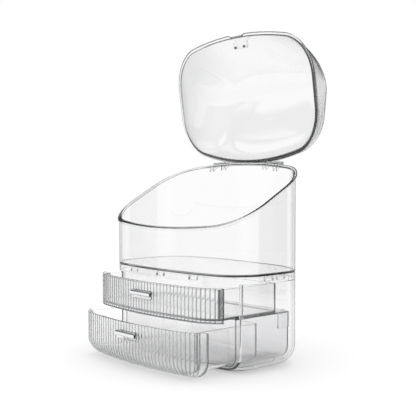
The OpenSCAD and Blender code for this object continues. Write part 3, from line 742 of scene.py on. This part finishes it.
# %% [markdown]
# ## The drawer trays
# A tray follows the bowed front, then turns into straight sides and a straight back. Its plan is
# worked out from three numbers, so each height of the lower tray can have its own: the rounded
# bottom is just a stack of plans that get smaller on the way down.

# %% A tray's plan
TRAY_WALL, TRAY_FLOOR, FRONT_WALL = 2.0, 2.0, 2.8
UPPER_OUT, LOWER_OUT = 29.4, 54.0   # how far the drawers stand out


def tray_plan(half_w, inset, back_y, back_r=3.0, corner=3.0):
    """Front arc, part of the corner arc, a soft corner, the side, a round back corner, the back."""
    r = CORNER_R - inset
    meet = math.degrees(math.acos((half_w - front_corner[0]) / r))
    turn = math.degrees(corner / r)
    tip = arc(front_corner, r, np.array([-meet]))[0]
    on_arc = arc(front_corner, r, np.array([-meet - turn]))[0]
    on_side = tip + [0, corner]
    k = np.linspace(0, 1, 7)[:, None]
    soft = (1 - k) ** 2 * on_arc + 2 * k * (1 - k) * tip + k ** 2 * on_side
    behind = on_side + np.array([[0, 3.5], [0, 4.0]])
    rear = bend(back_r, 0, 90, 6) + [half_w - back_r, back_y - back_r]
    return mirrored(np.concatenate([
        arc(front_c, FRONT_R - inset, stretch(-90, front_end, 16)),
        arc(front_corner, r, stretch(front_end, -meet - turn, 12)),
        soft, behind, rear, [[0, back_y]]]))


def corner_marked(loops, first, marks):
    """Edge values of a tray, which paint shade: the marks on the columns round its soft front
    corners, from column first on at both sides, and 0 elsewhere. The flat caps stay clear."""
    values = np.zeros(np.shape(loops)[:2])
    for k, v in enumerate(marks, first):
        values[1:-1, [k, -k]] = v
    return values


# first column and painted shade values of each tray's corner, as corner_marked takes them
UPPER_CORNER, LOWER_CORNER = (29, (0.5, 1.0, 0.7, 0.4, 0.3, 0.3, 0.3)), (32, (0.6, 0.6))


def tray_loop(half_w, inset, back_y, z, out):
    """A tray's plan at height z, as far forward as the drawer stands out."""
    return at_height(tray_plan(half_w, inset, back_y) - [0, out], z)


# %% The upper tray
UPPER_HALF, UPPER_BACK, UPPER_Z, UPPER_H = 120.0, 45.5, 71.2, 38.0


def upper_tray_loops():
    """Up the outside, over the top edge and down inside, then in by a quarter circle to the
    floor. i is how far each plan lies inside the outer skin."""
    top, w, r = UPPER_Z + UPPER_H, TRAY_WALL, 1.5
    rows = [(0.5, UPPER_Z), (0, UPPER_Z + 0.5), (0, top - 0.5), (0.4, top), (w - 0.4, top),
            (w, top - 0.5)]
    rows += [(w + r + c, UPPER_Z + TRAY_FLOOR + r + s) for c, s in bend(r, 180, 270, 4)]
    return [tray_loop(UPPER_HALF - i, FRONT_WALL + AIR + i, UPPER_BACK - i, z, UPPER_OUT)
            for i, z in rows]


loops = upper_tray_loops()
add_piece("upper_tray", stack_mesh(loops), "upper_drawer", clear_styrene,
          ["upper_drawer_box"], corner_marked(loops, *UPPER_CORNER))

# %% The lower tray
LOWER_HALF, LOWER_BACK, LOWER_Z, LOWER_H, LOWER_R = 112.5, 43.5, 9.2, 50.5, 14.0
FRONT_Z = 2.0
SIDE_HEIGHTS = [24.6, 26.0, 40.0]   # plans on the way up its straight sides


def eased(depth, r):
    """How far a quarter-round edge of radius r is drawn in, depth below where it starts."""
    return r - math.sqrt(max(r ** 2 - min(max(depth, 0), r) ** 2, 0))


def lower_tray_loops():
    """The same for the lower tray. Quarter circles draw its sides and its front in towards the
    floor, at heights that are even steps of the sides' angle."""
    top = LOWER_Z + LOWER_H
    loops = []

    def level(i, z):
        """One plan: i is the distance from the outer skin, z the height."""
        side = LOWER_HALF - i - eased(LOWER_Z + LOWER_R - z, LOWER_R - i)
        curve_r = BOTTOM_R - FRONT_WALL - i
        inset = FRONT_WALL + AIR + i + eased(FRONT_Z + BOTTOM_R - z, curve_r)
        return tray_loop(side, inset, LOWER_BACK - i, z, LOWER_OUT)

    heights = LOWER_Z + LOWER_R * (1 - np.cos(np.radians(np.linspace(0, 90, 12))))
    loops += [level(0, z) for z in heights]
    loops += [level(0, z) for z in (*SIDE_HEIGHTS, top - 0.5)]
    loops += [level(0.4, top), level(TRAY_WALL - 0.4, top)]
    loops += [level(TRAY_WALL, z) for z in (top - 0.5, *SIDE_HEIGHTS[::-1])]
    floor_z, r = LOWER_Z + TRAY_FLOOR, LOWER_R - TRAY_WALL
    heights = floor_z + r * (1 - np.cos(np.radians(np.linspace(90, 0, 12))))
    return loops + [level(TRAY_WALL, z) for z in heights]


loops = lower_tray_loops()
add_piece("lower_tray", stack_mesh(loops), "lower_drawer", reeded_styrene,
          ["lower_drawer_box"], corner_marked(loops, *LOWER_CORNER))

# %% [markdown]
# ## The reeded fronts
# Forty upright reeds run across each drawer front. A reed is a slightly swollen strip, and between
# two reeds lies a narrow groove. The groove's steep sides turn light away, and its edge values
# paint it as a fine dark line of painted shade. Columns of the grid crowd together there. On the
# lower drawer the reeds follow the wall round its curved bottom and run out there. The plate
# behind each handle is raised out of the same sheet: a mask that is 1 inside a rounded rectangle
# lifts it clear.

# %% Reeds along the front
REEDS, SMOOTH_L = 40, 10.5
SWELL, GROOVE = 0.15, 0.5           # depths in mm
GROOVE_W, LINE_W = 0.07, 0.085      # widths of the groove and of its painted shade line, as shares of a reed
END_MARK, PLATE_MARK = 0.4, 2.4     # painted shade inside the ends, and on the plate's step
TIP_Y = MOUTH_Y - 0.4
tip_at_wall = cut_angle(0, TIP_Y)
front_arc = math.radians(front_end + 90) * FRONT_R
reach = front_arc + math.radians(tip_at_wall - front_end) * CORNER_R
reeded = reach - SMOOTH_L
pitch = 2 * reeded / REEDS
# where the columns of one reed stand, as shares of its width: close together at the grooves
across = np.array([0, 0.025, 0.055, 0.095, 0.19, 0.34, 0.5, 0.66, 0.81, 0.905, 0.945, 0.975])
columns = ((np.arange(REEDS)[:, None] + across) * pitch - reeded).ravel()
along = np.concatenate([-np.linspace(reach, reeded, 9)[:-1], columns,
                        np.linspace(reeded, reach, 9)])
phase = (along + reeded) / pitch % 1.0
from_groove = np.minimum(phase, 1 - phase)
reed = (SWELL * (1 - 2 * from_groove) ** 2 + GROOVE * np.exp(-(from_groove / GROOVE_W) ** 2))
has_reeds = np.abs(along) <= reeded + 1e-6
reed = np.where(has_reeds, reed, 0.0)
# painted shade: a dark line along each groove
line = np.where(has_reeds, np.exp(-(from_groove / LINE_W) ** 2), 0.0)
line[[0, -1]] = 1.0                 # painted shade on the sheet's two upright ends, which are seen through its length
print(f"reed spacing {pitch:.2f} mm, {len(along)} columns")


def front_plan(inset, tip_inset):
    """Points along the front, each moved in by its own inset. In the corner the angles are drawn
    together so that the last column ends on the mouth's plane at the row's own depth."""
    s = np.abs(along)
    flat = s < front_arc
    limit = cut_angle(tip_inset, TIP_Y)
    corner = front_end + np.degrees((s - front_arc) / CORNER_R)
    corner = front_end + (corner - front_end) * (limit - front_end) / (tip_at_wall - front_end)
    angle = np.radians(np.where(flat, -90 + np.degrees(s / FRONT_R), corner))
    r = np.where(flat, FRONT_R, CORNER_R) - inset
    cx, cy = (np.where(flat, front_c[k], front_corner[k]) for k in (0, 1))
    return np.column_stack([np.sign(along) * (cx + r * np.cos(angle)), cy + r * np.sin(angle)])


def soft_step(x, width):
    """0 below zero, 1 above width, and a smooth S between."""
    t = np.clip(x / width, 0, 1)
    return t * t * (3 - 2 * t)


PLATE_W, PLATE_H, PLATE_R, PLATE_OUT = 42.0, 12.0, 3.0, 1.0


def plate_mask(z, middle):
    """1 inside the rounded rectangle behind a handle and 0 outside, from the distance to it."""
    dx = np.abs(along) - (PLATE_W / 2 - PLATE_R)
    dz = abs(z - middle) - (PLATE_H / 2 - PLATE_R)
    away = np.hypot(np.maximum(dx, 0), max(dz, 0)) + np.minimum(np.maximum(dx, dz), 0)
    return soft_step(PLATE_R - away, 0.9)


def pressed(z, middle, fade=1.0):
    """How far the outer sheet lies inside the plain wall at height z: reeds, less the plate."""
    m = plate_mask(z, middle)
    return reed * fade * (1 - m) - PLATE_OUT * m


def front_heights(z0, z1, middle):
    """Heights of the rows: fine steps where the plate's edge is, coarse ones elsewhere."""
    fine = np.arange(middle - PLATE_H / 2 - 1.5, middle + PLATE_H / 2 + 1.5, 0.4)
    return np.unique(np.r_[np.linspace(z0, fine[0], 8), fine, np.linspace(fine[-1], z1, 8)])


EASE = 0.4                          # how far the sheet's edges are rounded off


def sheet_row(z, middle, out, ease=0.0):
    """The outer and the inner row of an upright sheet at height z, each drawn in by ease."""
    outer = front_plan(pressed(z, middle) + ease, ease)
    inner = front_plan(FRONT_WALL - ease, FRONT_WALL - ease)
    return at_height(outer - [0, out], z), at_height(inner - [0, out], z)


# %% The upper front
UPPER_FRONT_Z, UPPER_FRONT_H, UPPER_PLATE_Z = 68.0, 43.0, 93.5
UPPER_LINE = [68.8, 69.1, 69.7, 70.0]       # heights where the painted dark line above its lower edge is


def upper_front_grids():
    """Rows from the lower edge to the upper one, with both edges drawn in by EASE."""
    z0, z1 = UPPER_FRONT_Z, UPPER_FRONT_Z + UPPER_FRONT_H
    heights = np.union1d(front_heights(z0 + EASE, z1 - EASE, UPPER_PLATE_Z), UPPER_LINE)
    rows = [sheet_row(z, UPPER_PLATE_Z, UPPER_OUT) for z in heights]
    ends = [sheet_row(z, UPPER_PLATE_Z, UPPER_OUT, EASE) for z in (z0, z1)]
    return np.array([ends[0], *rows, ends[1]]).swapaxes(0, 1)


def edge_values(outer, middle):
    """Painted shade values: 1 along every groove, upright end and bottom edge of the outer skin,
    0 on smooth faces.
    """
    heights = outer[:, len(along) // 2, 2]
    mask = np.array([plate_mask(z, middle) for z in heights])
    outside = np.maximum(line * (1 - mask), PLATE_MARK * mask * (1 - mask))
    outside[0] = 1.0
    inside = np.zeros_like(outside)
    inside[:, [0, -1]] = END_MARK
    inside[0] = 1.0
    return np.array([outside, inside])


grids = upper_front_grids()
marks = edge_values(grids[0], UPPER_PLATE_Z)
marks[:, 3:5] = 1.0                 # painted shade on the rows at the two middle heights of UPPER_LINE
add_piece("upper_reeded_front", wall_mesh(*grids), "upper_drawer",
          reeded_styrene, ["upper_drawer_front", "upper_handle_plate"], marks)

# %% The lower front
LOWER_FRONT_H, LOWER_PLATE_Z, LIP_REACH = 58.0, 43.5, 20.0
RUN_OUT, RUN_OUT_W = 22, 14         # degrees round the bottom where the reeds begin, and grow
FAINT, FAINT_Z, FAINT_H = 0.1, 4.0, 6.0     # the painted shade lines are faint up to a height, and then grow


def lower_front_grids():
    """The sheet round the curved bottom, by angle, and then straight up."""
    out = np.array([0, LOWER_OUT])
    inner_r = BOTTOM_R - FRONT_WALL
    first = math.degrees(math.asin(1 - LIP_REACH / BOTTOM_R))
    rows = []
    for a in np.linspace(first, 88, 36):
        c, s = math.cos(math.radians(a)), math.sin(math.radians(a))
        d = pressed(0, LOWER_PLATE_Z, soft_step(a - RUN_OUT, RUN_OUT_W))
        i, z = BOTTOM_R * (1 - s), FRONT_Z + BOTTOM_R * (1 - c)
        outer = at_height(front_plan(i + d * s, i) - out, z + d * c)
        i, z = FRONT_WALL + inner_r * (1 - s), FRONT_Z + FRONT_WALL + inner_r * (1 - c)
        rows.append((outer, at_height(front_plan(i, i) - out, z)))
    top = FRONT_Z + LOWER_FRONT_H
    rows += [sheet_row(z, LOWER_PLATE_Z, LOWER_OUT)
             for z in front_heights(FRONT_Z + BOTTOM_R, top - EASE, LOWER_PLATE_Z)]
    rows.append(sheet_row(top, LOWER_PLATE_Z, LOWER_OUT, EASE))
    return np.array(rows).swapaxes(0, 1)


grids = lower_front_grids()
marks = edge_values(grids[0], LOWER_PLATE_Z)
height = grids[0][:, len(along) // 2, 2][:, None]
marks *= FAINT + 0.75 * soft_step(height - FAINT_Z, FAINT_H)
add_piece("lower_reeded_front", wall_mesh(*grids), "lower_drawer",
          reeded_styrene, ["lower_drawer_front", "lower_handle_plate"], marks)

# %% [markdown]
# ## Handles
# Each handle is a half-round bar of chromed plastic, held by two steel screws from inside. The
# cross-section is a half circle, and at both ends it shrinks a little, as a moulded bar does. Its
# flat ends get a dull black, a painted dark reflection.

# %% Chrome, core and steel
def grained(name, colour, rough, grain_mm, contrast, metallic=1.0):
    """An opaque surface whose polish varies a little, with grain_mm between the marks."""
    mat, t = new_material(name)
    where = add_node(t, "ShaderNodeTexCoord").outputs["Object"]
    marks = add_node(t, "ShaderNodeTexNoise", {"Vector": where}, Scale=1000 / grain_mm, Detail=3.0)
    level = add_node(t, "ShaderNodeMapRange", {"Value": marks},
                     To_Min=rough * (1 - contrast), To_Max=rough * (1 + contrast))
    body = add_node(t, "ShaderNodeBsdfPrincipled", {"Roughness": level},
                    Base_Color=linear(colour), Metallic=metallic)
    add_node(t, "ShaderNodeOutputMaterial", {"Surface": body})
    return mat


# bright plating on a smooth moulding: a crisp white streak over grey
chrome = grained("bright_chrome_plate", "F4F5F6", 0.12, 4.0, 0.3)
# painted dark reflection: a dull black on the flat ends of a bar
end_black = grained("bar_ends_painted_black", "08080A", 0.35, 2.0, 0.2, metallic=0.0)
# turned steel: a soft, dull shine on pins and screws
steel = grained("turned_steel", "D2D4D6", 0.45, 0.6, 0.4)
print("made", chrome.name, end_black.name, steel.name)

# %% The bars
BAR_L, BAR_R, BAR_UP = 41.0, 3.3, 1.5
BAR_END, BAR_GAP = 0.5, 0.03        # radius round its ends, and the air behind it


def bar_loops(z, out):
    """Half circles along X, drawn in towards both ends by a quarter-round of radius BAR_END."""
    back_y = -HALF_D - PLATE_OUT - out - BAR_GAP
    turn = np.radians(np.linspace(0, 90, 5))
    steps = [(BAR_L / 2 - BAR_END * (1 - math.sin(a)), BAR_END * (1 - math.cos(a))) for a in turn]
    stations = [(-x, d) for x, d in steps[::-1]] + steps
    loops = []
    for x, d in stations:
        half = bend(BAR_R - d, 0, 180, 20)[:, ::-1] * [-1, 1]
        ring = np.concatenate([half, [[0.0, -(BAR_R - d) * 0.5], [0.0, (BAR_R - d) * 0.5]]])
        loops.append(np.column_stack([np.full(len(ring), x), back_y + ring[:, 0], z + ring[:, 1]]))
    return loops


for name, z, out, body in (("upper", UPPER_PLATE_Z, UPPER_OUT, "upper_drawer"),
                           ("lower", LOWER_PLATE_Z, LOWER_OUT, "lower_drawer")):
    bar = add_piece(f"{name}_chrome_bar", stack_mesh(bar_loops(z + BAR_UP, out)), body,
                    chrome, [f"{name}_handle_bar"])
    bar.data.materials.append(end_black)
    for end in (-1, -2):            # the flat ends get the black: a painted dark reflection
        bar.data.polygons[end].material_index = 1

# %% Nodes that keep their own shape
for name, ob in nodes.items():
    if not ob.hide_render:
        dress(ob, steel if "pin" in name or "screws" in name else clear_styrene)
        print("kept as packed:", name)

# %% [markdown]
# ## Camera, table and light
# The organizer stands on a white table in an even, white room. The camera looks at it from the
# front right, almost level, with a longish lens so that upright lines stay upright.

# %% Camera
cam_data = bpy.data.cameras.new("camera")
cam_data.lens, cam_data.sensor_width = 69.0, 36.0
camera = place("camera", cam_data)
TURN, TILT, DISTANCE = math.radians(47.98), math.radians(2.03), 1.0999
ASIDE, LOOK_Z = 0.00528, 0.2029     # where it looks: metres to the right of the middle, and up
back = np.array([math.sin(TURN) * math.cos(TILT), -math.cos(TURN) * math.cos(TILT), math.sin(TILT)])
right = np.array([math.cos(TURN), math.sin(TURN), 0.0])
up = np.cross(back, right)
spot = ASIDE * right + np.array([0, 0, LOOK_Z]) + DISTANCE * back
turn = Matrix(np.stack([right, up, back], 1).tolist())
camera.matrix_world = Matrix.Translation(Vector(spot)) @ turn.to_4x4()
bpy.context.scene.camera = camera
print("camera at", spot.round(4))

# %% Table
table = bpy.data.meshes.new("table")
table.from_pydata([(-4, -4, -0.0002), (4, -4, -0.0002), (4, 4, -0.0002), (-4, 4, -0.0002)], [],
                  [(0, 1, 2, 3)])
table_ob = place("table", table)
# white paint near the object, which takes its shadow, and plain white light far away, so that no
# horizon shows. Mirrored rays pass the far part and see the room instead.
NEAR, FAR, NEAR_LIGHT = 0.4, 1.1, 0.28      # metres, and the share of plain light up close
mat, t = new_material("white_table")
paint = add_node(t, "ShaderNodeBsdfDiffuse", Color=linear("FBFBFB"))
far = add_node(t, "ShaderNodeEmission", Strength=1.0)
place_on = add_node(t, "ShaderNodeTexCoord").outputs["Object"]
away = add_node(t, "ShaderNodeVectorMath", {0: place_on}, operation="LENGTH")
fade = add_node(t, "ShaderNodeMapRange", {"Value": away}, interpolation_type="SMOOTHSTEP",
                From_Min=NEAR, From_Max=FAR, To_Min=NEAR_LIGHT)
depth = add_node(t, "ShaderNodeLightPath").outputs["Glossy Depth"]
mirrored_ray = add_node(t, "ShaderNodeMath", {0: depth, 1: 0.5}, operation="GREATER_THAN")
passed = add_node(t, "ShaderNodeBsdfTransparent")
beyond = add_node(t, "ShaderNodeMixShader", {"Fac": mirrored_ray, 1: far, 2: passed})
both = add_node(t, "ShaderNodeMixShader", {"Fac": fade, 1: paint, 2: beyond})
add_node(t, "ShaderNodeOutputMaterial", {"Surface": both})
dress(table_ob, mat)
print("table: paint up to", NEAR, "m from the middle, plain light beyond", FAR, "m")

# %% The room
world = bpy.data.worlds.new("studio_room")
world.use_nodes = True
wt = world.node_tree
wt.nodes.clear()
# brightness of the room by elevation in degrees, as mirrored rays and as bent rays see it
MIRRORED = [(-90, 0.85), (0, 0.85), (3, 1.0), (9, 1.0), (14, 0.4), (18, 0.2), (52, 0.2), (64, 1.0)]
BENT = [(-90, 1.0), (18, 1.0), (42, 0.5)]
# azimuth, elevation, half width and half height in degrees, softness and brightness of each
# panel: three soft boxes, and a black flag that gives side walls and bar ends their contrast
PANELS = [(218, 12, 7.5, 16, 3, 1.0), (215, 43, 11, 6, 4, 1.0), (342, 4, 12, 12, 4, 1.0),
          (42, -8, 14, 22, 6, 0.03)]


def panel(tree, direction, azimuth, elevation, half_w, half_h, edge):
    """1 inside a rectangle in the room and 0 outside: the ray's angles to its middle, as
    tangents, each stepped softly at the half size."""
    a, e = math.radians(azimuth), math.radians(elevation)
    middle = (math.cos(a) * math.cos(e), math.sin(a) * math.cos(e), math.sin(e))
    across = (-math.sin(a), math.cos(a), 0)
    upright = (-math.cos(a) * math.sin(e), -math.sin(a) * math.sin(e), math.cos(e))
    along_ray = [add_node(tree, "ShaderNodeVectorMath", {0: direction, 1: v},
                          operation="DOT_PRODUCT") for v in (middle, across, upright)]
    ahead = add_node(tree, "ShaderNodeMath", {0: along_ray[0], 1: 0.02}, operation="MAXIMUM")
    result = 1.0
    for beside, half in zip(along_ray[1:], (half_w, half_h)):
        size = add_node(tree, "ShaderNodeMath", {0: beside, 1: ahead}, operation="DIVIDE")
        size = add_node(tree, "ShaderNodeMath", {0: size}, operation="ABSOLUTE")
        step = add_node(tree, "ShaderNodeMapRange", {"Value": size}, To_Min=1.0, To_Max=0.0,
                        interpolation_type="SMOOTHSTEP", From_Min=math.tan(math.radians(half)),
                        From_Max=math.tan(math.radians(half + edge)))
        result = add_node(tree, "ShaderNodeMath", {0: result, 1: step}, operation="MULTIPLY")
    return result


ray_way = add_node(wt, "ShaderNodeTexCoord").outputs["Generated"]
height = add_node(wt, "ShaderNodeSeparateXYZ", {"Vector": ray_way}).outputs["Z"]
position = add_node(wt, "ShaderNodeMapRange", {"Value": height}, From_Min=-1.0)


def by_elevation(tree, stops):
    """A ramp over the sine of the elevation, -1 straight down to 1 straight up."""
    node = add_node(tree, "ShaderNodeValToRGB", {"Fac": position})
    ramp = node.color_ramp
    while len(ramp.elements) < len(stops):
        ramp.elements.new(0.5)
    for element, (degrees, level) in zip(ramp.elements, stops):
        element.position = (math.sin(math.radians(degrees)) + 1) / 2
        element.color = (level, level, level, 1.0)
    return node


glow = by_elevation(wt, MIRRORED)
for *where, brightness in PANELS:
    share = panel(wt, ray_way, *where)
    glow = add_node(wt, "ShaderNodeMix", {"Factor": share, "A": glow, "B": brightness})
ray = add_node(wt, "ShaderNodeLightPath").outputs
undiffused = add_node(wt, "ShaderNodeMath", {0: ray["Diffuse Depth"], 1: 0.5},
                      operation="LESS_THAN")
glossy = add_node(wt, "ShaderNodeMath", {0: ray["Glossy Depth"], 1: 0.5}, operation="GREATER_THAN")
mirrored_ray = add_node(wt, "ShaderNodeMath", {0: glossy, 1: undiffused}, operation="MULTIPLY")
bent_ray = add_node(wt, "ShaderNodeMath", {0: ray["Is Transmission Ray"], 1: undiffused},
                    operation="MULTIPLY")
room = add_node(wt, "ShaderNodeMix", {"Factor": bent_ray, "A": 1.0, "B": by_elevation(wt, BENT)})
light = add_node(wt, "ShaderNodeMix", {"Factor": mirrored_ray, "A": room, "B": glow})
sky = add_node(wt, "ShaderNodeBackground", {"Strength": light}, Color=linear("FFFFFF"))
add_node(wt, "ShaderNodeOutputWorld", {"Surface": sky})
bpy.context.scene.world = world
bpy.context.scene.view_settings.view_transform = "Standard"
cycles = bpy.context.scene.cycles
cycles.max_bounces, cycles.transmission_bounces, cycles.glossy_bounces = 64, 48, 48
print("room:", len(PANELS), "panels")

# %% The lamp
disk = bpy.data.lights.new("overhead", "AREA")
disk.shape, disk.size, disk.energy = "DISK", 2.4, 9.0
lamp = place("overhead", disk)
lamp.location = (0.0, -0.2, 2.2)
lamp.rotation_euler = (-lamp.location).to_track_quat("-Z", "Y").to_euler()
lamp.visible_glossy = lamp.visible_transmission = False
print("lamp at", tuple(round(v, 2) for v in lamp.location), "with", disk.energy, "W")
